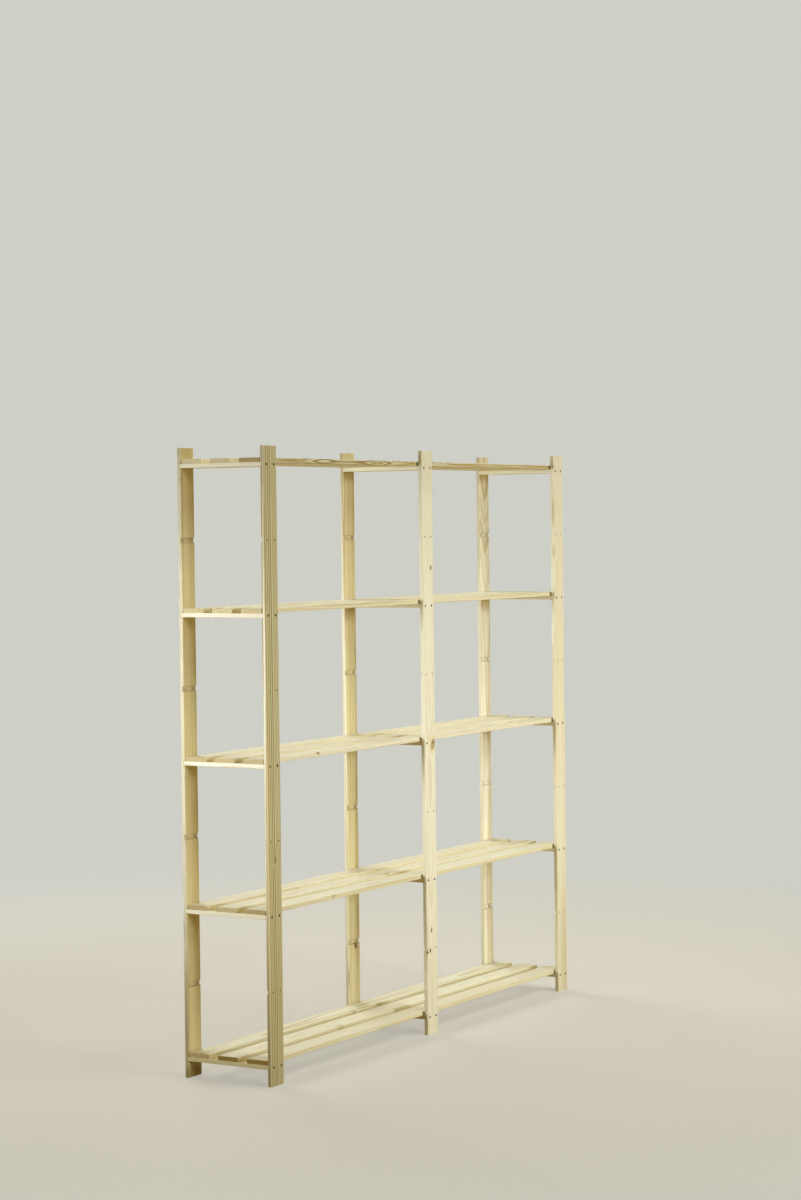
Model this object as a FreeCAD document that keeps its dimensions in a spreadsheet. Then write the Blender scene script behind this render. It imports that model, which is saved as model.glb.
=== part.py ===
"""Knock-down pine shelving unit: posts, housed bearers, full-length slats and their screws.

Millimetres. +Z is up, +X runs along the shelves and the front faces -Y.
The origin is on the floor, under the middle of the unit.
"""
import FreeCAD, Part
import Sketcher
import os
import re

SIZES = {
    # the unit as a whole
    "overall_length": 1700,
    "foot_height": 45,         # floor to the underside of the lowest bearers
    "shelf_pitch": 400,        # from one shelf to the next
    "post_top_margin": 43,     # post standing above the top bearers
    # the boards
    "post_width": 60,
    "post_thickness": 12,
    "bearer_thickness": 12,
    "bearer_inset": 1,         # side of a bearer behind the side of its post
    "slat_width": 65,
    "slat_thickness": 12,
    "slat_gap": 28,            # between neighbouring slats of a shelf
    "slat_clearance": 2.5,     # between the outer slats and the posts
    "edge_radius": 1.5,        # eased long edges
    # the housings that hold the bearer ends
    "housing_depth": 4,
    "housing_clearance": 0.3,
    # the screws and their holes
    "screw_diameter": 3.5,
    "head_diameter": 7,
    "head_angle": 90,          # full angle of the head's cone
    "point_length": 5,
    "recess_width": 1.1,
    "recess_depth": 1.2,
    "recess_wall": 0.4,        # metal left between the cross recess and the cone of the head
    "screw_spacing": 35,       # between the two screws of a pair
    "bearer_bite": 27,         # post screw inside the bearer
    "slat_bite": 7,            # slat screw inside the slat
    "head_clearance": 0.05,
    "shank_clearance": 0.5,
    "pilot_clearance": 0.05,
    "point_clearance": 0.5,
}

LEVELS = range(1, 6)
COLUMNS = {"left": -1, "middle": 0, "right": 1}
SLAT_ROWS = {"front": -1, "middle": 0, "rear": 1}
POST_ROWS = {"front": -1, "rear": 1}
STEPS_UP = len(LEVELS) - 1

# Lengths that follow from the sizes
POST_HEIGHT = f"(foot_height + {STEPS_UP} * shelf_pitch + bearer_thickness + post_top_margin)"
POST_PITCH = "(overall_length - post_width) / 2"
SLAT_PITCH = "(slat_width + slat_gap)"
SLAT_LENGTH = "(overall_length - 2 * bearer_inset)"
INNER_DEPTH = "(3 * slat_width + 2 * slat_gap + 2 * slat_clearance)"
OVERALL_DEPTH = f"({INNER_DEPTH} + 2 * post_thickness)"
BEARER_LENGTH = f"({INNER_DEPTH} + 2 * housing_depth)"
BEARER_WIDTH = "(post_width - 2 * bearer_inset)"
HOUSING_HEIGHT = "(bearer_thickness + housing_clearance)"
TOP_BEARER = f"(foot_height + {STEPS_UP} * shelf_pitch)"
SHANK_HOLE = "(screw_diameter + 2 * shank_clearance)"
PILOT_HOLE = "(screw_diameter + 2 * pilot_clearance)"
HEAD_HOLE = "(head_diameter + 2 * head_clearance)"
HEAD_HEIGHT = "(head_diameter - screw_diameter) / 2 / tan(head_angle / 2)"
RECESS_SPAN = "(head_diameter - 2 * recess_depth * tan(head_angle / 2) - 2 * recess_wall)"
POST_SCREW = "(post_thickness - housing_depth + bearer_bite)"
SLAT_SCREW = "(bearer_thickness + slat_bite)"

ORIGIN = (-1, 1)
UP_AXIS = -2


def bind(feature, path, formula):
    """Tie a property to a formula written with the names of the sizes."""
    names = "|".join(SIZES)
    feature.setExpression(path, re.sub(rf"\b({names})\b", r"sizes.\1", formula))


def make_sheet(doc):
    sheet = doc.addObject("Spreadsheet::Sheet", "sizes")
    for row, (name, size) in enumerate(SIZES.items(), 1):
        sheet.set(f"A{row}", name)
        sheet.set(f"B{row}", str(size))
        sheet.setAlias(f"B{row}", name)
    doc.recompute()


def origin_part(body, role):
    return next(part for part in body.Origin.OriginFeatures if part.Role == role)


def make_body(doc, name):
    body = doc.addObject("PartDesign::Body", name)
    body.Label = name
    return body


def place(piece, x="0", y="0", z="0", turn_axis=(0, 0, 1), turn=0):
    """Turn a piece about its own origin, then put that origin at x, y, z."""
    piece.Placement = FreeCAD.Placement(FreeCAD.Vector(), FreeCAD.Rotation(FreeCAD.Vector(*turn_axis), turn))
    for axis, formula in zip("xyz", (x, y, z)):
        bind(piece, f"Placement.Base.{axis}", formula)


def make_sketch(body, name, plane):
    sketch = body.newObject("Sketcher::SketchObject", name)
    sketch.AttachmentSupport = (origin_part(body, plane), [""])
    sketch.MapMode = "FlatFace"
    return sketch


def dimension(sketch, kind, start, end, formula):
    """A driving distance between two points of a sketch, each given as geometry and end."""
    index = sketch.addConstraint(Sketcher.Constraint(kind, *start, *end, 1.0))
    sketch.renameConstraint(index, f"distance_{index}")
    bind(sketch, f"Constraints.distance_{index}", formula)


def draw_outline(sketch, points):
    """Closed outline through the points; line number n runs from point n to the next."""
    corners = [FreeCAD.Vector(x, y, 0) for x, y in points]
    for start, end in zip(corners, corners[1:] + corners[:1]):
        sketch.addGeometry(Part.LineSegment(start, end))
    for line in range(len(corners)):
        following = (line + 1) % len(corners)
        sketch.addConstraint(Sketcher.Constraint("Coincident", line, 2, following, 1))


def draw_rectangle(sketch, width, height):
    draw_outline(sketch, [(1, 1), (9, 1), (9, 5), (1, 5)])
    for line, direction in enumerate(("Horizontal", "Vertical", "Horizontal", "Vertical")):
        sketch.addConstraint(Sketcher.Constraint(direction, line))
    dimension(sketch, "DistanceX", (0, 1), (0, 2), width)
    dimension(sketch, "DistanceY", (1, 1), (1, 2), height)


def centre(sketch, first, second):
    """Put two points of a sketch on opposite sides of its origin."""
    sketch.addConstraint(Sketcher.Constraint("Symmetric", *first, *second, *ORIGIN))


def extrude(body, kind, name, sketch, length, symmetric=False, reverse=False):
    feature = body.newObject(f"PartDesign::{kind}", name)
    feature.Profile = sketch
    feature.SideType = "Symmetric" if symmetric else "One side"
    feature.Reversed = reverse
    bind(feature, "Length", length)
    body.Document.recompute()
    return feature


def make_board(body, plane, width, thickness, length, symmetric=True):
    """Planed board along the normal of a plane, with its four long edges eased."""
    section = make_sketch(body, "section", plane)
    draw_rectangle(section, width, thickness)
    centre(section, (0, 1), (0, 2))
    blank = extrude(body, "Pad", "blank", section, length, symmetric)
    grain = section.getGlobalPlacement().Rotation.multVec(FreeCAD.Vector(0, 0, 1))
    edges = enumerate(blank.Shape.Edges, 1)
    long_edges = [f"Edge{number}" for number, edge in edges if abs(edge.tangentAt(0).dot(grain)) > 0.99]
    easing = body.newObject("PartDesign::Fillet", "eased_edges")
    easing.Base = (blank, long_edges)
    bind(easing, "Radius", "edge_radius")
    body.Document.recompute()


def check_cut(feature):
    if feature.Shape.Volume >= feature.BaseFeature.Shape.Volume:
        raise RuntimeError(f"{feature.Label} removes nothing")


def repeat(body, feature, *rows):
    """Copy a cut back along the negative axes; each row is an axis, a spacing and a count."""
    pattern = body.newObject("PartDesign::LinearPattern", f"{feature.Name}_pattern")
    pattern.Originals = [feature]
    for suffix, (axis, spacing, count) in zip(("", "2"), rows):
        setattr(pattern, f"Direction{suffix}", (origin_part(body, axis), [""]))
        setattr(pattern, f"Reversed{suffix}", True)
        setattr(pattern, f"Occurrences{suffix}", count)
        bind(pattern, f"Length{suffix}", f"{count - 1} * {spacing}")
    body.Tip = pattern
    body.Document.recompute()
    check_cut(pattern)


def drill(body, name, plane, x, y, diameter, depth=None, head=None, offset="0", reverse=False):
    """One hole at x, y of a plane: blind if it has a depth, countersunk if it takes a head."""
    sketch = make_sketch(body, f"{name}_centre", plane)
    sketch.addGeometry(Part.Circle(FreeCAD.Vector(1, 1, 0), FreeCAD.Vector(0, 0, 1), 1))
    if x == "0":
        sketch.addConstraint(Sketcher.Constraint("PointOnObject", 0, 3, UP_AXIS))
    else:
        dimension(sketch, "DistanceX", ORIGIN, (0, 3), x)
    dimension(sketch, "DistanceY", ORIGIN, (0, 3), y)
    bind(sketch, "AttachmentOffset.Base.z", offset)
    body.Document.recompute()
    hole = body.newObject("PartDesign::Hole", name)
    hole.Profile = sketch
    hole.Reversed = reverse
    hole.DrillPoint = "Flat"
    hole.DepthType = "Dimension" if depth else "ThroughAll"
    bind(hole, "Diameter", diameter)
    if depth:
        bind(hole, "Depth", depth)
    if head:
        hole.HoleCutType = "Countersink"
        bind(hole, "HoleCutCountersinkAngle", "head_angle")
        bind(hole, "HoleCutDiameter", head)
    body.Document.recompute()
    check_cut(hole)
    return hole


def make_post(doc, name, column, row):
    """Upright with its outer face at its own Y = 0; rear posts are front posts turned round."""
    body = make_body(doc, name)
    make_board(body, "XY_Plane", "post_width", "post_thickness", POST_HEIGHT, symmetric=False)

    outline = make_sketch(body, "housing_outline", "YZ_Plane")
    draw_rectangle(outline, "2 * housing_depth", HOUSING_HEIGHT)
    dimension(outline, "DistanceX", ORIGIN, (0, 1), "post_thickness - housing_depth")
    dimension(outline, "DistanceY", ORIGIN, (0, 1), TOP_BEARER)
    housing = extrude(body, "Pocket", "housing", outline, "2 * post_width", symmetric=True)
    check_cut(housing)
    repeat(body, housing, ("Z_Axis", "shelf_pitch / 2", 2 * STEPS_UP + 1))

    # Screw holes at the shelves are countersunk by the heads; those of the spare housings are plain.
    side = "screw_spacing / 2"
    top = f"{TOP_BEARER} + bearer_thickness / 2"
    used = drill(body, "screw_hole", "XZ_Plane", side, top, SHANK_HOLE, head=HEAD_HOLE)
    repeat(body, used, ("X_Axis", "screw_spacing", 2), ("Z_Axis", "shelf_pitch", STEPS_UP + 1))
    spare_top = f"{top} - shelf_pitch / 2"
    spare = drill(body, "spare_hole", "XZ_Plane", side, spare_top, SHANK_HOLE)
    repeat(body, spare, ("X_Axis", "screw_spacing", 2), ("Z_Axis", "shelf_pitch", STEPS_UP))

    turn = 180 if POST_ROWS[row] > 0 else 0
    x = f"{COLUMNS[column]} * {POST_PITCH}"
    place(body, x, f"{POST_ROWS[row]} * {OVERALL_DEPTH} / 2", turn=turn)
    return body


def make_bearer(doc, name, column, level):
    """Cross board between a front and a rear post, its underside at its own Z = 0."""
    body = make_body(doc, name)
    make_board(body, "XZ_Plane", BEARER_WIDTH, "bearer_thickness", BEARER_LENGTH)

    for end, side in POST_ROWS.items():
        pilot = drill(
            body, f"{end}_pilot", "XZ_Plane", "screw_spacing / 2", "bearer_thickness / 2", PILOT_HOLE,
            depth="bearer_bite + point_clearance", offset=f"{-side} * {BEARER_LENGTH} / 2", reverse=side > 0,
        )
        repeat(body, pilot, ("X_Axis", "screw_spacing", 2))

    rear_hole = f"{SLAT_PITCH} + screw_spacing / 2"
    shank = drill(body, "slat_hole", "XY_Plane", "0", rear_hole, SHANK_HOLE, head=HEAD_HOLE, reverse=True)
    repeat(body, shank, ("Y_Axis", "screw_spacing", 2), ("Y_Axis", SLAT_PITCH, len(SLAT_ROWS)))

    x = f"{COLUMNS[column]} * {POST_PITCH}"
    place(body, x, z=f"foot_height + {level - 1} * shelf_pitch")
    return body


def make_slat(doc, name, row, level):
    """Shelf board over the three bearers of a level, its underside at its own Z = 0."""
    body = make_body(doc, name)
    make_board(body, "YZ_Plane", "slat_width", "slat_thickness", SLAT_LENGTH)

    pilot = drill(
        body, "pilot", "XY_Plane", POST_PITCH, "screw_spacing / 2", PILOT_HOLE,
        depth="slat_bite + point_clearance", reverse=True,
    )
    repeat(body, pilot, ("X_Axis", POST_PITCH, len(COLUMNS)), ("Y_Axis", "screw_spacing", 2))

    z = f"foot_height + bearer_thickness + {level - 1} * shelf_pitch"
    place(body, y=f"{SLAT_ROWS[row]} * {SLAT_PITCH}", z=z)
    return body


def make_screw(doc, name, length):
    """Countersunk wood screw: head at its own origin, point towards +Z."""
    body = make_body(doc, name)
    profile = make_sketch(body, "profile", "XZ_Plane")
    draw_outline(profile, [(0, 0), (3, 0), (2, 2), (2, 8), (0, 10)])
    profile.addConstraint(Sketcher.Constraint("Coincident", 0, 1, *ORIGIN))
    profile.addConstraint(Sketcher.Constraint("Horizontal", 0))
    profile.addConstraint(Sketcher.Constraint("Vertical", 2))
    profile.addConstraint(Sketcher.Constraint("PointOnObject", 4, 1, UP_AXIS))
    dimension(profile, "DistanceX", ORIGIN, (0, 2), "head_diameter / 2")
    dimension(profile, "DistanceX", ORIGIN, (2, 1), "screw_diameter / 2")
    dimension(profile, "DistanceY", ORIGIN, (2, 1), HEAD_HEIGHT)
    dimension(profile, "DistanceY", ORIGIN, (2, 2), f"{length} - point_length")
    dimension(profile, "DistanceY", ORIGIN, (4, 1), length)
    turned = body.newObject("PartDesign::Revolution", "turned")
    turned.Profile = profile
    turned.ReferenceAxis = (profile, ["V_Axis"])
    turned.Angle = 360
    doc.recompute()

    wings = {"recess_along": (RECESS_SPAN, "recess_width"), "recess_across": ("recess_width", RECESS_SPAN)}
    for wing, (width, height) in wings.items():
        outline = make_sketch(body, f"{wing}_outline", "XY_Plane")
        draw_rectangle(outline, width, height)
        centre(outline, (0, 1), (1, 2))
        check_cut(extrude(body, "Pocket", wing, outline, "recess_depth", reverse=True))
    return body


def make_links(doc, screw, places):
    """One linked screw at each place, given as the arguments of place()."""
    links = []
    for where in places:
        link = doc.addObject("App::Link", f"{screw.Label}_copy")
        link.LinkedObject = screw
        place(link, *where)
        links.append(link)
    return links


def make_group(doc, name, links, height):
    """The screws of one level, as separate solids."""
    group = doc.addObject("Part::Compound", name)
    group.Label = name
    group.Links = links
    place(group, z=height)
    return group


def make_post_screws(doc):
    screw = make_screw(doc, "post_screw", POST_SCREW)
    groups = []
    for row, side in POST_ROWS.items():
        places = [
            (f"{column} * {POST_PITCH} + {hand} * screw_spacing / 2", f"{side} * {OVERALL_DEPTH} / 2", "0",
             (1, 0, 0), 90 * side)
            for column in COLUMNS.values() for hand in (-1, 1)
        ]
        links = make_links(doc, screw, places)
        for level in LEVELS:
            height = f"foot_height + bearer_thickness / 2 + {level - 1} * shelf_pitch"
            groups.append(make_group(doc, f"post_screws_{row}_{level}", links, height))
    return groups


def make_slat_screws(doc):
    screw = make_screw(doc, "slat_screw", SLAT_SCREW)
    places = [
        (f"{column} * {POST_PITCH}", f"{row} * {SLAT_PITCH} + {hand} * screw_spacing / 2")
        for column in COLUMNS.values() for row in SLAT_ROWS.values() for hand in (-1, 1)
    ]
    links = make_links(doc, screw, places)
    heights = {level: f"foot_height + {level - 1} * shelf_pitch" for level in LEVELS}
    return [make_group(doc, f"slat_screws_{level}", links, height) for level, height in heights.items()]


def check(doc, pieces):
    failed = [thing.Label for thing in doc.Objects if {"Invalid", "Error"} & set(thing.State)]
    if failed:
        raise RuntimeError(f"failed: {failed}")
    for piece in pieces:
        if piece.Shape.isNull() or not piece.Shape.isValid() or not piece.Shape.Solids:
            raise RuntimeError(f"{piece.Label} has no valid solid")


def main():
    doc = FreeCAD.newDocument("shelving_unit")
    make_sheet(doc)
    pieces = []
    for row in POST_ROWS:
        for column in COLUMNS:
            pieces.append(make_post(doc, f"post_{row}_{column}", column, row))
    for level in LEVELS:
        for column in COLUMNS:
            pieces.append(make_bearer(doc, f"bearer_{level}_{column}", column, level))
        for row in SLAT_ROWS:
            pieces.append(make_slat(doc, f"slat_{level}_{row}", row, level))
    pieces += make_post_screws(doc)
    pieces += make_slat_screws(doc)
    doc.recompute()
    check(doc, pieces)

    os.makedirs("parts", exist_ok=True)
    for piece in pieces:
        piece.Shape.exportStep(f"parts/{piece.Label}.step")
    print(f"{len(pieces)} pieces written")


main()
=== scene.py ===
"""Looks of the shelving unit: planed pine boards, dark screws, a pale studio and the camera."""
import math
import random

import bpy
from mathutils import Euler, Matrix, Vector


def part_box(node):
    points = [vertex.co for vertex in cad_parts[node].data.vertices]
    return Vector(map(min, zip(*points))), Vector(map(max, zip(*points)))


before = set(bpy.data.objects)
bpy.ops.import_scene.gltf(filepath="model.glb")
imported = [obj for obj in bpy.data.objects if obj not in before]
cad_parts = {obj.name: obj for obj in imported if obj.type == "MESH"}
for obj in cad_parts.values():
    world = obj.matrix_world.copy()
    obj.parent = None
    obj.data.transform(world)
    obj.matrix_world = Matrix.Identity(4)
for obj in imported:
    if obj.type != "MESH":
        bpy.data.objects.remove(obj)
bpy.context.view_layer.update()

MM = 0.001

# Colours are linear red, green, blue and alpha.
EARLYWOOD = (0.86, 0.84, 0.615, 1.0)
LATEWOOD = (0.51, 0.345, 0.11, 1.0)
DARK_LATEWOOD = (0.29, 0.185, 0.05, 1.0)
HEARTWOOD = (0.75, 0.62, 0.33, 1.0)
# Brown of the wood's stains, and of the shade painted on the posts.
STAIN_AND_SHADE_BROWN = (0.37, 0.275, 0.07, 1.0)
PALE_KNOT = (0.52, 0.39, 0.15, 1.0)
LIVE_KNOT = (0.27, 0.20, 0.055, 1.0)
DEAD_KNOT = (0.075, 0.06, 0.016, 1.0)
END_GRAIN = (0.37, 0.25, 0.048, 1.0)
# Dark brown of the shade painted along the housings, round the screw holes and where slats pass the posts.
PAINTED_SHADE_BROWN = (0.16, 0.11, 0.02, 1.0)
STEEL_DARK = (0.040, 0.028, 0.012, 1.0)
STEEL_WORN = (0.12, 0.09, 0.05, 1.0)
PAPER = (0.62, 0.625, 0.57, 1.0)
FLOOR_PALE = (0.38, 0.34, 0.265, 1.0)
FLOOR_DARK = (0.32, 0.29, 0.225, 1.0)
FLOOR_BOUNCE = (0.46, 0.345, 0.125, 1.0)
ROOM_FILL = (1.0, 0.76, 0.30, 1.0)

# How a board was sawn from the log: where the pith lies from the board's centre, in millimetres
# along its width and thickness, and how far the log leans from the board, in degrees. Sway is the
# lean to the other side, for every cut.
CUTS = {
    "flat": {"across": (-12, 12), "through": (38, 75), "lean": (0.5, 1.1)},
    "rift": {"across": (40, 75), "through": (30, 60), "lean": (0.2, 0.6)},
    "quarter": {"across": (70, 120), "through": (-10, 10), "lean": (0.05, 0.3)},
}
SWAY = (-0.2, 0.2)

# What a plain board's wood is drawn from. Ring is the width of a growth ring in millimetres, figure
# the strength of the dark bands and warmth that of the heartwood. Age takes the cast's share of it
# from the red, green and blue of the board's tint. The seed shifts the pattern.
PLAIN_CUTS = ("flat", "flat", "rift", "quarter")
RING_RANGE = (3.0, 5.0)
FIGURE_RANGE = (0.28, 0.7)
WARMTH_RANGE = (0.05, 0.3)
AGE_RANGE = (0.02, 0.09)
AGE_CAST = (0.5, 0.7, 1.6)
SEED_RANGE = (0.0, 20.0)

# Boards that stand out, with what isn't drawn for them. Tint is the cast of the wide faces and edge that of
# the narrow ones; edges set the narrow faces apart from the wide ones as painted light and shade, and some
# tints are painted light and shade too, as noted below. Rims is how dark the painted shade round a post's
# screw holes is. Pith gives the pith's place across and through the board where the figure shows it, in
# millimetres. Crooks are bends in the trunk: how far along the board from its centre, how far the rings
# step out there and the bend's half length, in millimetres.
LOOKS = {
    "post_front_left": {
        "cut": "rift", "ring": 7.5, "figure": 2.4, "warmth": 0.6,
        "tint": (0.73, 0.73, 0.57), "edge": (0.97, 1.02, 1.0), "rims": 0.6,
    },
    "post_front_middle": {
        "cut": "flat", "ring": 5.0, "figure": 0.3, "warmth": 0.1,
        "tint": (1.0, 0.995, 0.96), "edge": (0.95, 0.965, 0.95),
    },
    "post_front_right": {
        "cut": "quarter", "ring": 5.0, "figure": 0.45, "warmth": 0.35,
        "tint": (1.0, 0.985, 0.93), "edge": (1.10, 1.13, 1.15),
    },
    # The tints of the rear left and rear middle posts are painted warm shade.
    "post_rear_left": {
        "cut": "quarter", "ring": 7.0, "figure": 0.5, "warmth": 0.4,
        "tint": (0.94, 0.86, 0.62), "edge": (0.93, 0.955, 0.94),
    },
    "post_rear_middle": {
        "cut": "rift", "ring": 6.0, "figure": 0.85, "warmth": 0.3,
        "tint": (0.91, 0.85, 0.645), "edge": (0.93, 0.925, 0.86),
    },
    # The rear right post's tint is painted light.
    "post_rear_right": {
        "pith": (5, 132), "ring": 4.6, "figure": 0.7, "warmth": 0.05,
        "tint": (1.13, 1.12, 1.13), "edge": (0.95, 0.955, 0.92),
        "crooks": [(900, -22, 350)],
    },
    # The left bearers' edges are lightened as painted light, and the middle bearers' edges darkened and
    # warmed as painted shade.
    "bearer_1_left": {"figure": 0.15, "warmth": 0.0, "edge": (1.15, 1.15, 1.12)},
    "bearer_2_left": {"figure": 0.15, "warmth": 0.0, "edge": (1.13, 1.16, 1.19)},
    "bearer_5_left": {"figure": 0.15, "warmth": 0.0, "edge": (1.15, 1.16, 1.18)},
    "bearer_1_middle": {"edge": (0.84, 0.70, 0.45)},
    "bearer_2_middle": {"edge": (0.84, 0.70, 0.45)},
    "bearer_3_middle": {"edge": (0.84, 0.70, 0.45)},
    "slat_1_middle": {"tint": (1.02, 1.02, 1.0)},
    "slat_1_rear": {"tint": (1.01, 1.02, 1.0)},
    "slat_2_front": {"edge": (0.91, 0.86, 0.69)},
    "slat_3_front": {"edge": (1.0, 0.99, 0.93)},
    "slat_5_front": {
        "pith": (-26.5, 0), "ring": 3.0, "figure": 3.4, "warmth": 0.3,
        "tint": (1.06, 1.04, 0.95), "edge": (0.80, 0.77, 0.61),
        "crooks": [(-390, -4.6, 280), (-535, -3.4, 60), (-240, -3.4, 60)],
    },
    # The tints and edges of the top shelf's middle and rear slats are painted light.
    "slat_5_middle": {"tint": (1.10, 1.08, 1.03), "edge": (1.12, 1.08, 0.95)},
    "slat_5_rear": {"tint": (1.10, 1.08, 1.03), "edge": (1.12, 1.08, 0.95)},
}

# The cast of the narrow faces of other boards, by kind, which sets them apart from the wide faces as painted
# light and shade, and of all the bearers' wide faces, which is painted warm shade.
EDGE_TINTS = {
    "post": (0.93, 0.92, 0.88),
    "bearer": (1.09, 1.11, 1.14),
    "slat": (0.96, 0.92, 0.78),
}
BEARER_SHADE_TINT = (1.03, 0.93, 0.68)

# Knots that show: how far along the board and across it from its centre, their radius, all in
# millimetres, and how dark they are, from 0 for a pale knot to 1 for a black one.
KNOTS = {
    "post_front_left": [(-242, 0, 2.0, 0.3), (-251, 1, 2.7, 0.55)],
    "post_front_middle": [
        (511, 15, 3.5, 0.7), (-4, 16, 11.0, 0.0), (-546, -4, 3.2, 0.8),
        (-606, -11, 4.0, 1.0), (-608, -27, 3.8, 1.0),
    ],
    "post_rear_middle": [(-610, 7, 7.5, 0.6)],
    "post_rear_right": [(-594, 9, 4.0, 0.3)],
    "slat_2_middle": [(-65, -26, 5.5, 0.5)],
    "slat_3_front": [(-582, -32, 4.5, 0.4)],
}

# Brown patches that run with the grain: how far along the board and across it from its centre,
# their half length and half width, all in millimetres, and their strength. Some of them are painted
# shade, as noted at those posts.
STAINS_AND_SHADE = {
    # On the front left post, the long patch down the top of its left edge is painted shade, and the broad
    # faint one darkens its lower part.
    "post_front_left": [
        (-240, 0, 36, 5, 0.9), (-250, 2, 16, 4, 1.0), (-720, 0, 420, 70, 0.16),
        (690, -30, 330, 12, 0.35),
    ],
    # On the front middle post, the broad faint patch darkens its top and the long narrow one the lower part
    # of its left edge.
    "post_front_middle": [
        (-1, 17, 22, 13, 0.4), (511, 15, 16, 6, 0.5), (-545, -4, 16, 6, 0.5),
        (830, 0, 160, 70, 0.14), (-590, -30, 130, 10, 0.3),
    ],
    "post_front_right": [
        (815, -28, 10, 5, 0.6), (674, -30, 70, 6, 0.45), (548, -30, 30, 5, 0.4),
        (-710, 10, 280, 34, 0.25),
    ],
    # On the rear left post, the patches across the whole post at its top, at its foot and just under the
    # second shelf are painted shade, and so are the long ones at the top and foot of its left edge.
    "post_rear_left": [
        (840, 0, 36, 60, 0.6), (-838, 0, 34, 60, 0.92), (-448, 0, 70, 60, 0.3),
        (690, -30, 300, 12, 0.35), (-690, -30, 230, 12, 0.35), (764, -30, 12, 4, 0.7),
        (728, 30, 10, 4, 0.7),
    ],
    # On the rear middle post, the patches across the whole post at its top and just under the second shelf
    # are painted shade.
    "post_rear_middle": [
        (840, 0, 36, 60, 0.5), (-448, 0, 50, 60, 0.25), (-611, 8, 26, 10, 0.5),
        (-420, 20, 480, 15, 0.25), (-700, -30, 50, 4, 0.5),
    ],
    # On the rear right post, the patches at its top and under the second, third and top shelves are painted
    # shade.
    "post_rear_right": [
        (840, 0, 36, 60, 0.55), (560, 0, 230, 60, 0.2), (-72, 0, 90, 60, 0.3),
        (-470, 0, 60, 60, 0.2),
    ],
    "slat_1_middle": [(-29, -30, 24, 14, 0.4), (-334, -30, 24, 14, 0.4)],
    "slat_1_rear": [(28, -30, 24, 14, 0.4), (-115, -30, 20, 14, 0.4)],
    "slat_2_front": [(-510, -32, 16, 6, 0.5), (-300, -34, 500, 4, 0.3)],
    "slat_2_middle": [(-65, -26, 18, 10, 0.5)],
    "slat_4_front": [(-450, -34, 600, 4, 0.45), (400, -34, 700, 4, 0.2)],
    "slat_5_front": [
        (-692, -33, 5, 4, 0.9), (-673, -33, 6, 4, 0.9), (-632, -33, 18, 5, 0.8),
        (-165, -33, 12, 3, 0.8), (-130, -33, 12, 3, 0.8), (-95, -33, 12, 3, 0.8),
        (-60, -33, 10, 3, 0.8), (60, -33, 14, 3, 0.7), (105, -33, 14, 3, 0.7),
        (150, -33, 20, 3, 0.6), (640, -33, 14, 3, 0.6),
    ],
}

# How far the face that knots, stains and painted shade are placed on lies from a board's centre, in
# millimetres: the front face of a post and the top of a slat or bearer.
MARKED_FACE = {"post": -6.0, "slat": 6.0, "bearer": 6.0}

# How dark the sawn ends of the front, middle and rear slat are, by shelf from the lowest, and those
# of other boards. End grain is darker of itself; the differences between the slats' ends are painted
# light and shade.
END_DARKNESS_AND_SHADE = {
    1: (0.85, 0.88, 0.1),
    2: (0.62, 0.44, 0.58),
    3: (0.6, 0.5, 0.55),
    4: (0.42, 0.32, 0.37),
    5: (0.42, 0.33, 0.28),
}
SLAT_ROWS = ("front", "middle", "rear")
PLAIN_END = 0.7

# From here on, a range is where a smooth step starts and where it is complete, a line is a slope and a
# start, and scales are cycles in a metre: two across the log and one along it, or one for all three.

# Knots: the branch's rise for each length that it runs out, the ragged edge, how many radii the rings
# are pushed aside, and a distance that stands for no knot. The ranges are in knot radii: the warm halo
# round it, its edge and its dark rim. A knot has fine rings of its own. The last two ranges are how dark
# a knot is to look live, then dead.
BRANCH_RISE = 0.9
KNOT_RAGGED_SCALE = 260.0
KNOT_RAGGED_LINE = (0.5, 0.75)
KNOT_PUSH = 1.8
NO_KNOT = 100.0
HALO_RANGE = (1.0, 2.6)
HALO_STRENGTH = 0.55
KNOT_EDGE_RANGE = (0.85, 1.1)
KNOT_RIM_RANGE = (0.7, 0.95)
KNOT_RIM_DARK = 0.35
KNOT_RING_TURNS = 19.0
KNOT_RING_DARK = 0.14
LIVE_KNOT_RANGE = (0.0, 0.5)
DEAD_KNOT_RANGE = (0.5, 1.0)

# Stains and painted shade: the streaks in their edges, how they fade outwards, and how many times deeper
# than wide they go.
STAIN_AND_SHADE_STREAK_SCALES = (320.0, 320.0, 30.0)
STAIN_AND_SHADE_STREAK_LINE = (0.9, 0.55)
STAIN_AND_SHADE_RANGE = (0.25, 1.0)
STAIN_AND_SHADE_DEPTH = 2.0

# Growth rings: how far a board's seed shifts the pattern, how the trunk's outline wanders and ripples, in
# millimetres, in noise that is drawn out along the log and goes both ways from its middle, how uneven
# the rings' widths are, in rings, when in a year the dark band comes and goes, how the bands' strength
# varies from year to year, and how strong a band is to look its darkest. The uneven scale is cycles in a
# ring.
SEED_SHIFT = (3.1, 1.7, 0.9)
NOISE_MIDDLE = 0.5
FIBRE_STRETCH = 0.12
WANDER_SCALE = 9.0
WANDER = 10.0
RIPPLE_SCALE = 45.0
RIPPLE = 2.4
UNEVEN_SCALE = 0.35
UNEVEN_RINGS = 1.6
SUMMER_RANGE = (0.35, 0.9)
WINTER_RANGE = (0.93, 1.0)
BAND_CHANCE_LINE = (0.65, 0.35)
DARK_BAND_RANGE = (0.9, 2.2)

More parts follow.
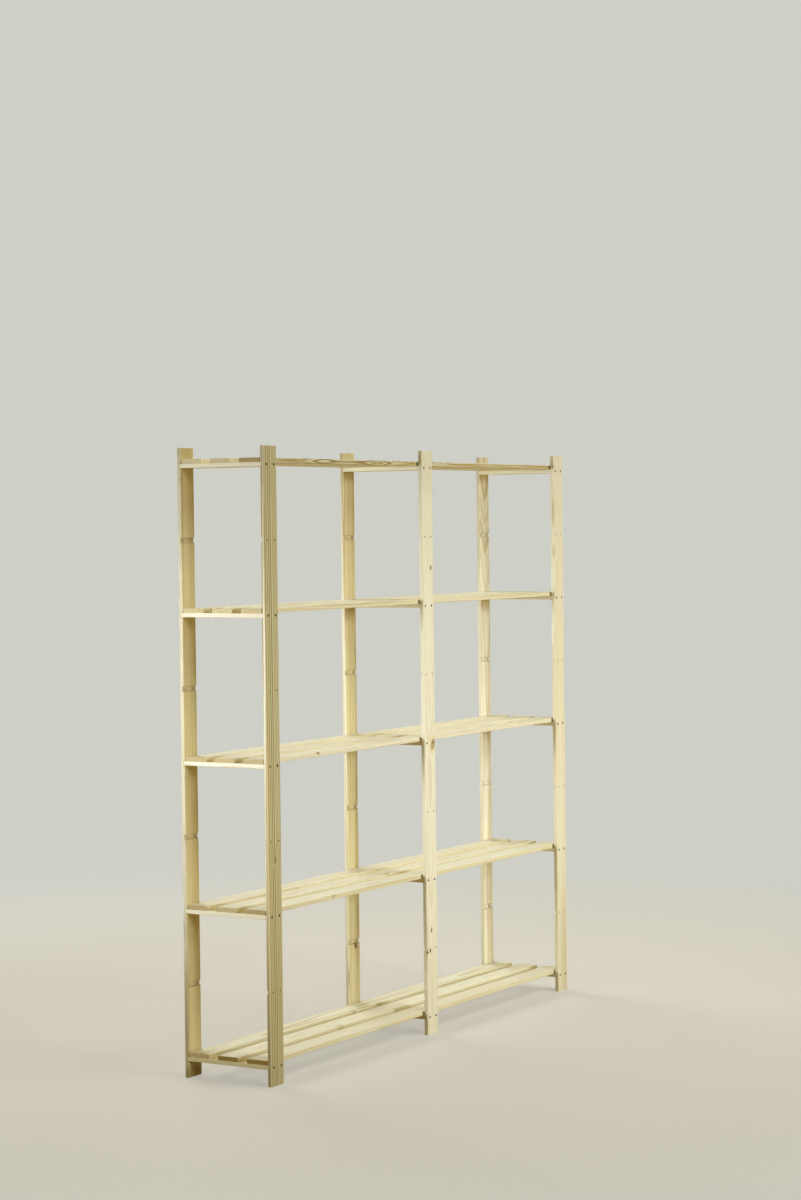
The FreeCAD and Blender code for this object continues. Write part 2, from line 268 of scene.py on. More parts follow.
# Fibres, their shade for red, green and blue, broad streaks of heartwood and short resin dashes.
FIBRE_SCALES = (700.0, 700.0, 14.0)
FIBRE_DARK = (0.88, 0.85, 0.77)
FIBRE_CONTRAST = (0.24, 0.30, 0.46)
STREAK_SCALES = (38.0, 38.0, 1.2)
STREAK_RANGE = (0.38, 0.72)
DASH_SCALES = (1100.0, 1100.0, 30.0)
DASH_RANGE = (0.66, 0.78)
DASH_SEASON_RANGE = (0.3, 0.7)
DASH_STRENGTH = 0.4

# How squarely a face looks along the board to be a sawn end, or through it to be a wide face, how the
# end grain's brightness follows the rings, and how near the board's sides an arris starts and is full.
END_FACING_RANGE = (0.6, 0.95)
WIDE_FACING_RANGE = (0.5, 0.9)
END_GRAIN_LINE = (-0.45, 1.14)
ARRIS_RANGE = (-2.5 * MM, -0.3 * MM)

# The wood's roughness and relief, with each feature's share in them.
PLAIN_ROUGHNESS = 0.60
BAND_ROUGHNESS = -0.12
FIBRE_ROUGHNESS = 0.12
END_ROUGHNESS = 0.15
ARRIS_ROUGHNESS = -0.08
KNOT_ROUGHNESS = -0.15
BAND_RELIEF = 0.4
FIBRE_RELIEF = 0.6
DASH_RELIEF = -0.5
WOOD_BUMP = 0.5
WOOD_BUMP_HEIGHT = 0.25 * MM
WOOD_SPECULAR = 0.35

# Joints along a post, in millimetres: the spacing of the housings, the middle of the lowest one, its
# height, how far its floor is from the unit's middle plane and how far past it the painted shade along
# the housing's edges reaches, the spacing and radius of the screw holes and the width of the painted
# shade round them. The lines of painted shade fade with the distance from a housing's edge.
HOUSING_SPACING = 200.0
HOUSING_MIDDLE = 51.15
HOUSING_HEIGHT = 12.3
HOUSING_FLOOR = 132.0
SHADE_LINE_DEPTH = 1.0
SHADE_LINE_RANGE = (0.4 * MM, 2.6 * MM)
SHADE_LINE_STRENGTH = 0.25
HOLE_SPACING = 35.0
HOLE_RADIUS = 2.25
RIM_WIDTH = 1.6
PLAIN_RIM = 0.45

# Where an outer slat's long edge passes the sides of the posts, in millimetres from the unit's middle:
# the middle post's side, the outer posts' inner side and the slat's edge. The painted shadows there fade
# along the edge, and start and are full at these distances from it.
MIDDLE_POST_SIDE = 30.0
OUTER_POST_SIDE = 790.0
SLAT_EDGE = 125.5
CONTACT_RANGE = (2.0 * MM, 10.0 * MM)
CONTACT_STRENGTH = 0.85
CONTACT_START = 4.0
CONTACT_FULL = 0.5

# The screws' black steel: its mottle, the patches rubbed brighter, its roughness and its relief.
MOTTLE_SCALE = 900.0
RUBBED_SCALE = 2600.0
RUBBED_RANGE = (0.55, 0.8)
STEEL_ROUGHNESS_LINE = (0.25, 0.5)
STEEL_BUMP = 0.3
STEEL_BUMP_HEIGHT = 0.05 * MM
STEEL_SPECULAR = 0.08

# Soft lamps, in metres. The spread is the full angle of the beam in degrees. The fill is from all round.
LAMPS = {
    "window_light": {
        "place": (-4.8, 1.5, 1.36), "target": (0.1, 0.0, 0.95), "size": (1.6, 0.6),
        "watts": 6.5, "spread": 28.0, "colour": (0.97, 1.0, 1.16),
    },
    "front_light": {
        "place": (-1.0, -7.8, 2.2), "target": (0.5, 0.0, 0.72), "size": (3.0, 1.8),
        "watts": 11.8, "spread": 22.0, "colour": (0.97, 1.0, 1.12),
    },
    "ceiling_light": {
        "place": (0.8, -6.0, 6.2), "target": (0.1, 0.0, 0.9), "size": (3.5, 3.0),
        "watts": 215.0, "spread": 180.0, "colour": (0.97, 1.0, 1.10),
    },
    "high_light": {
        "place": (2.8, 4.8, 4.6), "target": (0.0, 0.0, 0.8), "size": (3.2, 3.2),
        "watts": 236.0, "spread": 180.0, "colour": (0.96, 1.0, 1.08),
    },
    "side_light": {
        "place": (7.0, 0.4, 1.6), "target": (0.0, 0.0, 0.9), "size": (2.0, 2.0),
        "watts": 4.0, "spread": 22.0, "colour": (1.0, 1.0, 1.0),
    },
}
FILL_STRENGTH = 0.23

# The floor, in metres: its size, its speckle, where it fades to the background, and how much of the
# background's colour is added to it.
FLOOR_RADIUS = 30.0
FLOOR_SIDES = 96
FLOOR_SPECKLE_SCALE = 60.0
FLOOR_FADE_RANGE = (1.2, 4.5)
FLOOR_LIFT = 0.62

# The camera that took the photograph, in metres, degrees and, for the lens, millimetres. Yaw turns
# from +Y towards +X, and pitch is upwards.
CAMERA_PLACE = (-6.7256, -4.0814, 1.4838)
CAMERA_YAW = 59.0323
CAMERA_PITCH = -1.5837
CAMERA_ROLL = -0.6679
CAMERA_LENS = 80.43
CAMERA_SENSOR = 36.0

# Kinds of socket on a node group, and a Mix node's sockets for colours.
NUMBER = "NodeSocketFloat"
PLACE = "NodeSocketVector"
COLOUR = "NodeSocketColor"
MIX_FACTOR = 0
MIX_FIRST = 6
MIX_SECOND = 7
MIX_RESULT = 2


class Graph:
    """A node tree with short ways to add nodes to it. A socket given as a value is linked."""

    def __init__(self, tree):
        self.tree = tree

    def put(self, socket, value):
        if isinstance(value, bpy.types.NodeSocket):
            self.tree.links.new(value, socket)
        else:
            socket.default_value = value

    def node(self, kind, inputs=None, **settings):
        made = self.tree.nodes.new(kind)
        for name, value in settings.items():
            setattr(made, name, value)
        for name, value in (inputs or {}).items():
            self.put(made.inputs[name], value)
        return made

    def math(self, operation, *values, clamp=False):
        made = self.node("ShaderNodeMath", operation=operation, use_clamp=clamp)
        for socket, value in zip(made.inputs, values):
            self.put(socket, value)
        return made.outputs["Value"]

    def vector(self, operation, *values):
        made = self.node("ShaderNodeVectorMath", operation=operation)
        for socket, value in zip(made.inputs, values):
            self.put(socket, value)
        return made.outputs["Value" if operation in ("DOT_PRODUCT", "LENGTH") else "Vector"]

    def scaled(self, vector, factor):
        made = self.node("ShaderNodeVectorMath", {"Scale": factor}, operation="SCALE")
        self.put(made.inputs[0], vector)
        return made.outputs["Vector"]

    def split(self, vector):
        return self.node("ShaderNodeSeparateXYZ", {"Vector": vector}).outputs

    def step(self, value, low, high, start=0.0, end=1.0):
        """A smooth step from start at low to end at high."""
        ends = {"Value": value, "From Min": low, "From Max": high, "To Min": start, "To Max": end}
        made = self.node("ShaderNodeMapRange", ends, interpolation_type="SMOOTHSTEP")
        return made.outputs["Result"]

    def fall(self, value, low, high, start=1.0):
        """A smooth step from start at low to 0 at high."""
        return self.step(value, low, high, start, 0.0)

    def sum(self, start, *shares):
        """The start and each value times its share, added up."""
        total = start
        for value, share in shares:
            total = self.math("MULTIPLY_ADD", value, share, total)
        return total

    def noise(self, vector, scale=1.0, detail=2.0):
        sizes = {"Vector": vector, "Scale": scale, "Detail": detail}
        return self.node("ShaderNodeTexNoise", sizes).outputs["Fac"]

    def mix(self, factor, first, second, blend="MIX"):
        made = self.node("ShaderNodeMix", data_type="RGBA", blend_type=blend)
        self.put(made.inputs[MIX_FACTOR], factor)
        self.put(made.inputs[MIX_FIRST], first)
        self.put(made.inputs[MIX_SECOND], second)
        return made.outputs[MIX_RESULT]

    def join(self, kind, first, second, inputs=None):
        """A node that adds or mixes two shaders, which are its last two inputs."""
        made = self.node(kind, inputs)
        for socket, shader in zip(list(made.inputs)[-2:], (first, second)):
            self.put(socket, shader)
        return made.outputs["Shader"]


def new_group(name, inputs, outputs):
    """A node group with the named sockets. Returns its graph, its input sockets and its output node."""
    tree = bpy.data.node_groups.new(name, "ShaderNodeTree")
    for socket, kind in inputs.items():
        tree.interface.new_socket(socket, in_out="INPUT", socket_type=kind)
    for socket, kind in outputs.items():
        tree.interface.new_socket(socket, in_out="OUTPUT", socket_type=kind)
    graph = Graph(tree)
    given = graph.node("NodeGroupInput").outputs
    return graph, given, graph.node("NodeGroupOutput")


def make_knot_group():
    """One knot: a branch that runs out from the pith and pushes the growth rings aside."""
    graph, given, out = new_group(
        "knot",
        {"Log": PLACE, "Centre": PLACE, "Branch": PLACE, "Radius": NUMBER, "Dark": NUMBER,
         "Nearest": NUMBER, "Bulge": NUMBER, "Nearest dark": NUMBER},
        {"Nearest": NUMBER, "Bulge": NUMBER, "Nearest dark": NUMBER},
    )
    reach = graph.vector("SUBTRACT", given["Log"], given["Centre"])
    along = graph.vector("DOT_PRODUCT", reach, given["Branch"])
    aside = graph.vector("SUBTRACT", reach, graph.scaled(given["Branch"], along))
    ragged_noise = graph.noise(given["Log"], KNOT_RAGGED_SCALE)
    ragged = graph.math("MULTIPLY_ADD", ragged_noise, *KNOT_RAGGED_LINE)
    distance = graph.math("MULTIPLY", graph.vector("LENGTH", aside), ragged)
    ratio = graph.math("DIVIDE", distance, given["Radius"])
    push = graph.math("DIVIDE", given["Radius"], graph.math("MULTIPLY_ADD", ratio, ratio, 1.0))
    closer = graph.math("LESS_THAN", ratio, given["Nearest"])
    dark_change = graph.math("SUBTRACT", given["Dark"], given["Nearest dark"])
    graph.put(out.inputs["Nearest"], graph.math("MINIMUM", ratio, given["Nearest"]))
    graph.put(out.inputs["Bulge"], graph.math("MULTIPLY_ADD", push, KNOT_PUSH, given["Bulge"]))
    nearest_dark = graph.math("MULTIPLY_ADD", dark_change, closer, given["Nearest dark"])
    graph.put(out.inputs["Nearest dark"], nearest_dark)
    return graph.tree


def make_stain_and_shade_group():
    """One brown patch drawn out along the grain with soft ragged edges, for stains and painted shade."""
    graph, given, out = new_group(
        "stain_and_shade",
        {"Log": PLACE, "Centre": PLACE, "Spread": PLACE, "Strength": NUMBER, "Stain": NUMBER},
        {"Stain": NUMBER},
    )
    from_centre = graph.vector("SUBTRACT", given["Log"], given["Centre"])
    reach = graph.vector("MULTIPLY", from_centre, given["Spread"])
    streaks = graph.noise(graph.vector("MULTIPLY", given["Log"], STAIN_AND_SHADE_STREAK_SCALES))
    ragged = graph.math("MULTIPLY_ADD", streaks, *STAIN_AND_SHADE_STREAK_LINE)
    ratio = graph.math("MULTIPLY", graph.vector("LENGTH", reach), ragged)
    mask = graph.fall(ratio, *STAIN_AND_SHADE_RANGE)
    stain_and_shade = graph.math("MAXIMUM", graph.math("MULTIPLY", mask, given["Strength"]), given["Stain"])
    graph.put(out.inputs["Stain"], stain_and_shade)
    return graph.tree


def make_pine_group():
    """Pine at a place in the log: growth rings round the pith, fibres along it, knots and end grain."""
    graph, given, out = new_group(
        "pine",
        {"Log": PLACE, "Seed": NUMBER, "Ring": NUMBER, "Figure": NUMBER, "Warmth": NUMBER,
         "Tint": COLOUR, "Nearest": NUMBER, "Bulge": NUMBER, "Nearest dark": NUMBER, "Stain": NUMBER,
         "Painted shade": NUMBER, "End": NUMBER, "Arris": NUMBER},
        {"Colour": COLOUR, "Roughness": NUMBER, "Height": NUMBER},
    )
    log = given["Log"]
    nearest = given["Nearest"]
    shift = graph.scaled(SEED_SHIFT, given["Seed"])
    fibre_place = graph.vector("MULTIPLY_ADD", log, (1.0, 1.0, FIBRE_STRETCH), shift)

    wander = graph.math("SUBTRACT", graph.noise(fibre_place, WANDER_SCALE), NOISE_MIDDLE)
    ripple = graph.math("SUBTRACT", graph.noise(fibre_place, RIPPLE_SCALE), NOISE_MIDDLE)
    from_pith = graph.vector("LENGTH", graph.vector("MULTIPLY", log, (1.0, 1.0, 0.0)))
    radius = graph.sum(from_pith, (wander, WANDER * MM), (ripple, RIPPLE * MM))
    radius = graph.math("ADD", radius, given["Bulge"])

    years = graph.math("DIVIDE", radius, given["Ring"])
    uneven_sizes = {"W": years, "Scale": UNEVEN_SCALE, "Detail": 1.0}
    uneven = graph.node("ShaderNodeTexNoise", uneven_sizes, noise_dimensions="1D").outputs["Fac"]
    years = graph.math("MULTIPLY_ADD", uneven, UNEVEN_RINGS, years)
    season = graph.math("FRACT", years)
    year = graph.math("ADD", graph.math("FLOOR", years), given["Seed"])
    chance = graph.node("ShaderNodeTexWhiteNoise", {"W": year}, noise_dimensions="1D").outputs["Value"]
    summer_starts = graph.step(season, *SUMMER_RANGE)
    summer = graph.math("MULTIPLY", summer_starts, graph.fall(season, *WINTER_RANGE))
    band = graph.math("MULTIPLY", summer, graph.math("MULTIPLY_ADD", chance, *BAND_CHANCE_LINE))
    strong = graph.math("MULTIPLY", band, given["Figure"])
    band = graph.math("MINIMUM", strong, 1.0)

    fibres = graph.noise(graph.vector("MULTIPLY_ADD", log, FIBRE_SCALES, shift), detail=3.0)
    streaks = graph.noise(graph.vector("MULTIPLY_ADD", log, STREAK_SCALES, shift), detail=1.0)
    dash_noise = graph.noise(graph.vector("MULTIPLY_ADD", log, DASH_SCALES, shift), detail=1.0)
    dash_season = graph.step(season, *DASH_SEASON_RANGE)
    dashes = graph.math("MULTIPLY", graph.step(dash_noise, *DASH_RANGE), dash_season)

    colour = graph.mix(band, EARLYWOOD, LATEWOOD)
    colour = graph.mix(graph.step(strong, *DARK_BAND_RANGE), colour, DARK_LATEWOOD)
    warm = graph.math("MULTIPLY", graph.step(streaks, *STREAK_RANGE), given["Warmth"])
    colour = graph.mix(warm, colour, HEARTWOOD)
    colour = graph.mix(graph.math("MULTIPLY", dashes, DASH_STRENGTH), colour, LATEWOOD)
    fibre_light = graph.scaled(FIBRE_CONTRAST, fibres)
    fibre_shade = graph.vector("MULTIPLY_ADD", fibre_light, (1.0, 1.0, 1.0), FIBRE_DARK)
    colour = graph.vector("MULTIPLY", colour, fibre_shade)
    colour = graph.mix(1.0, colour, given["Tint"], "MULTIPLY")

    colour = graph.mix(graph.fall(nearest, *HALO_RANGE, HALO_STRENGTH), colour, HEARTWOOD)
    # Stains and painted shade.
    colour = graph.mix(given["Stain"], colour, STAIN_AND_SHADE_BROWN)
    knot_ring = graph.math("SINE", graph.math("MULTIPLY", nearest, KNOT_RING_TURNS))
    knot_dark = graph.math("MULTIPLY_ADD", knot_ring, KNOT_RING_DARK, given["Nearest dark"], clamp=True)
    knot_rim = graph.step(nearest, *KNOT_RIM_RANGE, end=KNOT_RIM_DARK)
    knot_dark = graph.math("ADD", knot_dark, knot_rim, clamp=True)
    knot = graph.fall(nearest, *KNOT_EDGE_RANGE)
    knot_colour = graph.mix(graph.step(knot_dark, *LIVE_KNOT_RANGE), PALE_KNOT, LIVE_KNOT)
    knot_colour = graph.mix(graph.step(knot_dark, *DEAD_KNOT_RANGE), knot_colour, DEAD_KNOT)
    colour = graph.mix(knot, colour, knot_colour)

    end_light = graph.math("MULTIPLY_ADD", summer, *END_GRAIN_LINE)
    colour = graph.mix(given["End"], colour, graph.scaled(END_GRAIN[:3], end_light))
    # Painted shade at the joints.
    colour = graph.mix(given["Painted shade"], colour, PAINTED_SHADE_BROWN)
    graph.put(out.inputs["Colour"], colour)

    rough = graph.sum(
        PLAIN_ROUGHNESS, (band, BAND_ROUGHNESS), (fibres, FIBRE_ROUGHNESS), (given["End"], END_ROUGHNESS),
        (given["Arris"], ARRIS_ROUGHNESS), (knot, KNOT_ROUGHNESS),
    )
    graph.put(out.inputs["Roughness"], rough)
    height = graph.sum(0.0, (band, BAND_RELIEF), (fibres, FIBRE_RELIEF), (dashes, DASH_RELIEF))
    graph.put(out.inputs["Height"], height)
    return graph.tree


KNOT_GROUP = make_knot_group()
STAIN_AND_SHADE_GROUP = make_stain_and_shade_group()
PINE_GROUP = make_pine_group()


def grain_axes(size):
    """The rotation that takes a board's width to x, its thickness to y and its length to z."""
    thickness, width, length = sorted(range(3), key=lambda i: size[i])
    rows = Matrix([[float(i == axis) for i in range(3)] for axis in (width, thickness, length)])
    if rows.determinant() < 0:
        rows[1].negate()
    return rows


def drawn_look(dice):
    """A plain board's wood, by lot."""
    look = {
        "cut": dice.choice(PLAIN_CUTS),
        "ring": dice.uniform(*RING_RANGE),
        "figure": dice.uniform(*FIGURE_RANGE),
        "warmth": dice.uniform(*WARMTH_RANGE),
    }
    age = dice.uniform(*AGE_RANGE)
    look["tint"] = tuple(1.0 - share * age for share in AGE_CAST)
    return look


def sawn_from(cut, dice):
    """The pith's place from the board's centre and the log's lean, for one way of sawing."""
    ranges = CUTS[cut]
    across = dice.choice((-1, 1)) * dice.uniform(*ranges["across"]) * MM
    through = dice.choice((-1, 1)) * dice.uniform(*ranges["through"]) * MM
    lean = dice.choice((-1, 1)) * math.radians(dice.uniform(*ranges["lean"]))
    sway = math.radians(dice.uniform(*SWAY))
    return Vector((across, through, 0.0)), Euler((lean, sway, 0.0)).to_matrix()


def end_darkness_and_shade(name):
    """How dark the sawn ends of a board are, with painted light and shade on the slats' ends."""
    kind, level, row = name.split("_")
    return END_DARKNESS_AND_SHADE[int(level)][SLAT_ROWS.index(row)] if kind == "slat" else PLAIN_END


def chain(graph, group, given, carried):
    """Adds one knot, stain or patch of painted shade to those before it. Returns what the group carries on.
    """
    node = graph.node("ShaderNodeGroup", {**given, **carried}, node_tree=group)
    return {socket: node.outputs[socket] for socket in carried}


def crook_bulge(graph, log, crook):
    """How far a bend in the trunk moves the rings, at a place in the log."""
    along, rise, half_length = crook
    from_bend = graph.math("SUBTRACT", graph.split(log)["Z"], along * MM)
    ratio = graph.math("DIVIDE", from_bend, half_length * MM)
    square = graph.math("MULTIPLY", ratio, ratio)
    falloff = graph.math("EXPONENT", graph.math("MULTIPLY", square, -1.0))
    return graph.math("MULTIPLY", falloff, rise * MM)


def add_knots(graph, name, log, in_log, crooks):
    """The board's knots and crooks. Returns the distance to the nearest knot, its darkness and the bulge."""
    knots = {"Nearest": NO_KNOT, "Bulge": 0.0, "Nearest dark": 0.0}
    for crook in crooks:
        knots["Bulge"] = graph.math("ADD", knots["Bulge"], crook_bulge(graph, log, crook))
    for along, across, radius, dark in KNOTS.get(name, []):
        centre = in_log(along, across)
        branch = Vector((centre.x, centre.y, BRANCH_RISE * centre.xy.length)).normalized()
        given = {"Log": log, "Centre": centre, "Branch": branch, "Radius": radius * MM, "Dark": dark}
        knots = chain(graph, KNOT_GROUP, given, knots)
    return knots


def add_stains_and_shade(graph, name, log, in_log):
    """The board's brown stains and painted shade. Returns how strong they are at a place."""
    stains_and_shade = {"Stain": 0.0}
    for along, across, half_length, half_width, strength in STAINS_AND_SHADE.get(name, []):
        half_sizes = (half_width, STAIN_AND_SHADE_DEPTH * half_width, half_length)
        spread = Vector([1.0 / half_size for half_size in half_sizes]) / MM
        given = {"Log": log, "Centre": in_log(along, across), "Spread": spread, "Strength": strength}
        stains_and_shade = chain(graph, STAIN_AND_SHADE_GROUP, given, stains_and_shade)
    return stains_and_shade


def painted_joint_shade(graph, place, centre, rim_darkness):
    """Painted shade along the edges of a post's housings and round its screw holes."""
    split = graph.split(place)
    above_lowest = graph.math("SUBTRACT", split["Z"], HOUSING_MIDDLE * MM)
    turns = graph.math("DIVIDE", above_lowest, HOUSING_SPACING * MM)
    from_nearest = graph.math("SUBTRACT", turns, graph.math("ROUND", turns))
    height = graph.math("MULTIPLY", from_nearest, HOUSING_SPACING * MM)
    aside = graph.math("ABSOLUTE", graph.math("SUBTRACT", split["X"], centre.x))
    aside = graph.math("SUBTRACT", aside, HOLE_SPACING / 2 * MM)
    from_hole = graph.node("ShaderNodeCombineXYZ", {"X": aside, "Z": height}).outputs["Vector"]
    reach = graph.vector("LENGTH", from_hole)
    rim = graph.fall(reach, HOLE_RADIUS * MM, (HOLE_RADIUS + RIM_WIDTH) * MM, rim_darkness)
    from_edge = graph.math("SUBTRACT", graph.math("ABSOLUTE", height), HOUSING_HEIGHT / 2 * MM)
    line = graph.fall(graph.math("ABSOLUTE", from_edge), *SHADE_LINE_RANGE, SHADE_LINE_STRENGTH)
    depth = graph.math("ABSOLUTE", split["Y"])
    sawn = graph.fall(depth, HOUSING_FLOOR * MM, (HOUSING_FLOOR + SHADE_LINE_DEPTH) * MM)
    return graph.math("MAXIMUM", rim, graph.math("MULTIPLY", line, sawn))


def painted_contact_shadow(graph, place):
    """Painted shadow on an outer slat's long edge where it goes behind a post."""
    split = graph.split(graph.vector("ABSOLUTE", place))
    from_middle = graph.math("ABSOLUTE", graph.math("SUBTRACT", split["X"], MIDDLE_POST_SIDE * MM))
    from_outer = graph.math("ABSOLUTE", graph.math("SUBTRACT", split["X"], OUTER_POST_SIDE * MM))
    from_post = graph.math("MINIMUM", from_middle, from_outer)
    near = graph.fall(from_post, *CONTACT_RANGE, CONTACT_STRENGTH)
    outer = graph.step(split["Y"], (SLAT_EDGE - CONTACT_START) * MM, (SLAT_EDGE - CONTACT_FULL) * MM)
    return graph.math("MULTIPLY", near, outer)


def facing(graph, normal, axis):
    """1 for a face that looks along the axis, either way, and 0 for one that lies along it."""
    return graph.math("ABSOLUTE", graph.vector("DOT_PRODUCT", normal, Vector(axis)))


def arris_mask(graph, place, centre, half):
    """1 along the board's edges and corners, 0 elsewhere."""
    from_centre = graph.vector("ABSOLUTE", graph.vector("SUBTRACT", place, centre))
    split = graph.split(graph.vector("SUBTRACT", from_centre, half))
    near = [graph.step(split[axis], *ARRIS_RANGE) for axis in "XYZ"]
    total = graph.math("ADD", graph.math("ADD", near[0], near[1]), near[2])
    return graph.math("SUBTRACT", total, 1.0, clamp=True)


def new_material(name):
    """A material with a Principled shader. Returns it, its graph and the shader's inputs."""
    material = bpy.data.materials.new(name)
    material.use_nodes = True
    shader = material.node_tree.nodes["Principled BSDF"]
    return material, Graph(material.node_tree), shader.inputs


def board_material(name):
    """Pine for one board, sawn from its own log."""
    kind = name.split("_")[0]
    low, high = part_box(name)
    centre, size = (low + high) / 2, high - low
    dice = random.Random(name)
    look = drawn_look(dice)
    look.update(LOOKS.get(name, {}))
    # The bearers' wide faces take painted warm shade for their tint.
    if kind == "bearer":
        look["tint"] = BEARER_SHADE_TINT
    pith, lean = sawn_from(look["cut"], dice)
    if "pith" in look:
        pith = Vector((*look["pith"], 0.0)) * MM
        lean = Matrix.Identity(3)
    axes = grain_axes(size)
    turn = lean @ axes

    def in_log(along, across):
        """The place in the log of a point of the face that knots and stains are placed on."""
        return lean @ Vector((across * MM, MARKED_FACE[kind] * MM, along * MM)) - pith

    material, graph, shader = new_material(name + "_pine")
    coords = graph.node("ShaderNodeTexCoord").outputs
    place = coords["Object"]
    to_log = {"Vector": place, "Rotation": turn.to_euler("XYZ"), "Location": -(turn @ centre) - pith}
    log = graph.node("ShaderNodeMapping", to_log).outputs["Vector"]

    # Painted shade along a post's housings and round its holes, and where a slat passes the posts.
    painted_shade = 0.0
    if kind == "post":
        painted_shade = painted_joint_shade(graph, place, centre, look.get("rims", PLAIN_RIM))
    if kind == "slat":
        painted_shade = painted_contact_shadow(graph, place)
    sawn_end = graph.step(facing(graph, coords["Normal"], axes[2]), *END_FACING_RANGE)
    wide = graph.step(facing(graph, coords["Normal"], axes[1]), *WIDE_FACING_RANGE)
    # The narrow faces' tint is painted light and shade.
    edge_tint = look.get("edge", EDGE_TINTS[kind])
    given = {
        "Log": log,
        "Seed": dice.uniform(*SEED_RANGE),
        "Ring": look["ring"] * MM,
        "Figure": look["figure"],
        "Warmth": look["warmth"],
        "Tint": graph.mix(wide, (*edge_tint, 1.0), (*look["tint"], 1.0)),
        "Painted shade": painted_shade,
        "End": graph.math("MULTIPLY", sawn_end, end_darkness_and_shade(name)),
        "Arris": arris_mask(graph, place, centre, size / 2),
    }
    given.update(add_knots(graph, name, log, in_log, look.get("crooks", [])))
    given.update(add_stains_and_shade(graph, name, log, in_log))
    pine = graph.node("ShaderNodeGroup", given, node_tree=PINE_GROUP).outputs
    relief = {"Height": pine["Height"], "Strength": WOOD_BUMP, "Distance": WOOD_BUMP_HEIGHT}
    graph.put(shader["Base Color"], pine["Colour"])
    graph.put(shader["Roughness"], pine["Roughness"])
    graph.put(shader["Normal"], graph.node("ShaderNodeBump", relief).outputs["Normal"])
    shader["Specular IOR Level"].default_value = WOOD_SPECULAR
    return material


def screw_material():
    """Black phosphated steel, rubbed brighter in patches."""
    material, graph, shader = new_material("black_screw_steel")
    place = graph.node("ShaderNodeTexCoord").outputs["Object"]
    mottle = graph.noise(place, MOTTLE_SCALE, detail=4.0)
    rubbed = graph.step(graph.noise(place, RUBBED_SCALE), *RUBBED_RANGE)
    worn = graph.math("MULTIPLY", rubbed, mottle)
    relief = {"Height": mottle, "Strength": STEEL_BUMP, "Distance": STEEL_BUMP_HEIGHT}
    graph.put(shader["Base Color"], graph.mix(worn, STEEL_DARK, STEEL_WORN))
    graph.put(shader["Roughness"], graph.math("MULTIPLY_ADD", mottle, *STEEL_ROUGHNESS_LINE))
    graph.put(shader["Normal"], graph.node("ShaderNodeBump", relief).outputs["Normal"])
    shader["Specular IOR Level"].default_value = STEEL_SPECULAR
    return material


def dress_all():
    steel = screw_material()
    for name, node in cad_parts.items():
        node.data.materials.clear()
        node.data.materials.append(steel if "screws" in name else board_material(name))


def seen_directly(graph):
    """1 for rays from the camera, a reflection or through glass, and 0 for rays that carry light."""
    path = graph.node("ShaderNodeLightPath").outputs
    seen = graph.math("MAXIMUM", path["Is Camera Ray"], path["Is Glossy Ray"])
    return graph.math("MAXIMUM", seen, path["Is Transmission Ray"])


def make_floor():
    """A wide pale floor that fades to the background before its edge."""
    bpy.ops.mesh.primitive_circle_add(vertices=FLOOR_SIDES, radius=FLOOR_RADIUS, fill_type="NGON")
    floor = bpy.context.object
    floor.name = "studio_floor"
    material = bpy.data.materials.new("pale_floor")
    material.use_nodes = True
    tree = material.node_tree
    tree.nodes.remove(tree.nodes["Principled BSDF"])
    graph = Graph(tree)
    place = graph.node("ShaderNodeTexCoord").outputs["Object"]
    speckle = graph.noise(place, FLOOR_SPECKLE_SCALE, detail=4.0)
    seen = seen_directly(graph)
    colour = graph.mix(seen, FLOOR_BOUNCE, graph.mix(speckle, FLOOR_PALE, FLOOR_DARK))
    matte = graph.node("ShaderNodeBsdfDiffuse", {"Color": colour}).outputs["BSDF"]
    lift = {"Color": PAPER, "Strength": graph.math("MULTIPLY", seen, FLOOR_LIFT)}
    lifted = graph.node("ShaderNodeEmission", lift).outputs["Emission"]
    lit = graph.join("ShaderNodeAddShader", matte, lifted)
    glow = graph.node("ShaderNodeEmission", {"Color": PAPER}).outputs["Emission"]
    away = graph.step(graph.vector("LENGTH", place), *FLOOR_FADE_RANGE)
    fade = {"Fac": graph.math("MULTIPLY", away, seen)}
    surface = graph.join("ShaderNodeMixShader", lit, glow, fade)
    graph.put(tree.nodes["Material Output"].inputs["Surface"], surface)
    floor.data.materials.append(material)


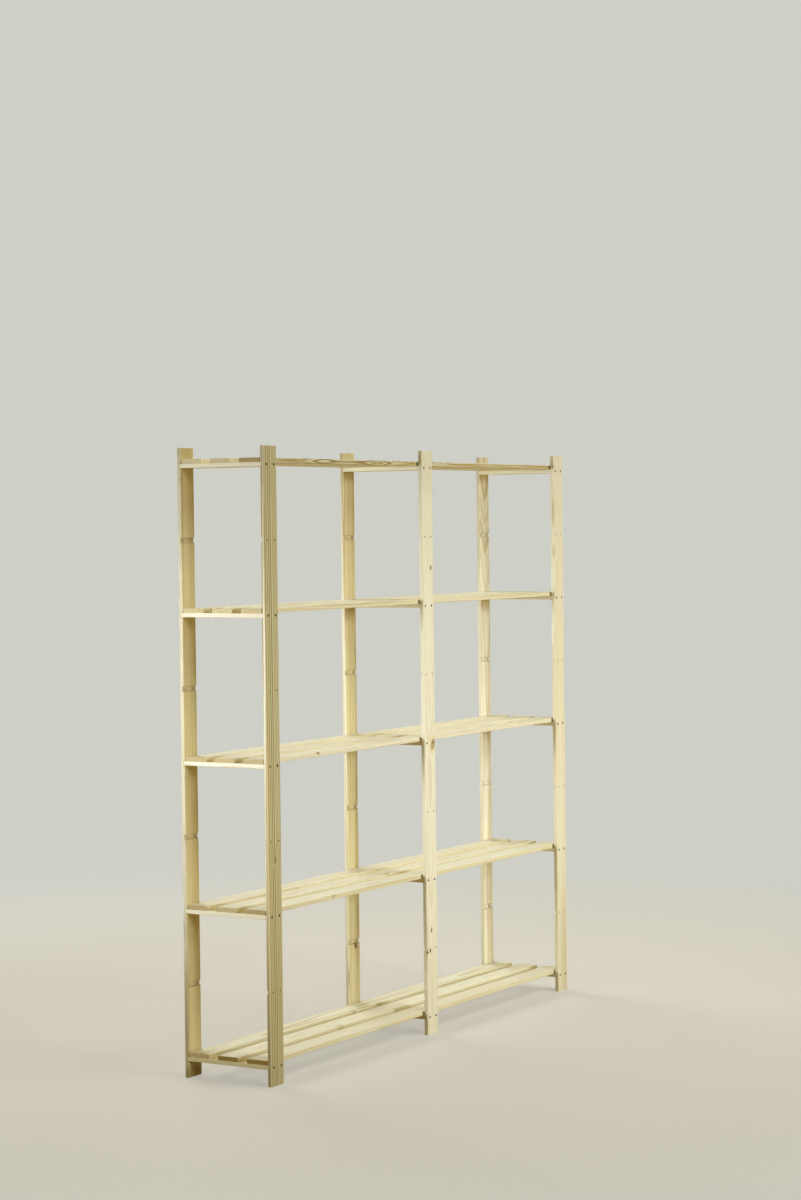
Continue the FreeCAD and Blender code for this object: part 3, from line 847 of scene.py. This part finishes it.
def make_world():
    """A warm fill that lights the object, and a plain pale background."""
    world = bpy.data.worlds.new("studio")
    bpy.context.scene.world = world
    world.use_nodes = True
    graph = Graph(world.node_tree)
    warm = {"Color": ROOM_FILL, "Strength": FILL_STRENGTH}
    fill = graph.node("ShaderNodeBackground", warm).outputs["Background"]
    paper = graph.node("ShaderNodeBackground", {"Color": PAPER}).outputs["Background"]
    surface = graph.join("ShaderNodeMixShader", fill, paper, {"Fac": seen_directly(graph)})
    graph.put(world.node_tree.nodes["World Output"].inputs["Surface"], surface)


def make_lamp(name, place, target, size, watts, spread, colour):
    lamp = bpy.data.lights.new(name, "AREA")
    lamp.shape = "RECTANGLE"
    lamp.size, lamp.size_y = size
    lamp.energy = watts
    lamp.spread = math.radians(spread)
    lamp.color = colour
    holder = bpy.data.objects.new(name, lamp)
    holder.location = place
    holder.rotation_euler = (Vector(target) - Vector(place)).to_track_quat("-Z", "Y").to_euler()
    bpy.context.scene.collection.objects.link(holder)


def make_lights():
    for name, lamp in LAMPS.items():
        make_lamp(name, **lamp)


def make_camera():
    lens = bpy.data.cameras.new("photo_camera")
    lens.sensor_fit = "AUTO"
    lens.sensor_width = CAMERA_SENSOR
    lens.lens = CAMERA_LENS
    yaw = math.radians(CAMERA_YAW)
    pitch = math.radians(CAMERA_PITCH)
    roll = math.radians(CAMERA_ROLL)
    flat = math.cos(pitch)
    ahead = Vector((math.sin(yaw) * flat, math.cos(yaw) * flat, math.sin(pitch)))
    level = Vector((math.cos(yaw), -math.sin(yaw), 0.0))
    upright = level.cross(ahead)
    right = math.cos(roll) * level + math.sin(roll) * upright
    up = math.cos(roll) * upright - math.sin(roll) * level
    turn = Matrix((right, up, -ahead)).transposed().to_4x4()
    holder = bpy.data.objects.new("photo_camera", lens)
    holder.matrix_world = Matrix.Translation(CAMERA_PLACE) @ turn
    bpy.context.scene.collection.objects.link(holder)
    bpy.context.scene.camera = holder


dress_all()
make_floor()
make_world()
make_lights()
make_camera()
bpy.context.scene.view_settings.view_transform = "Standard"
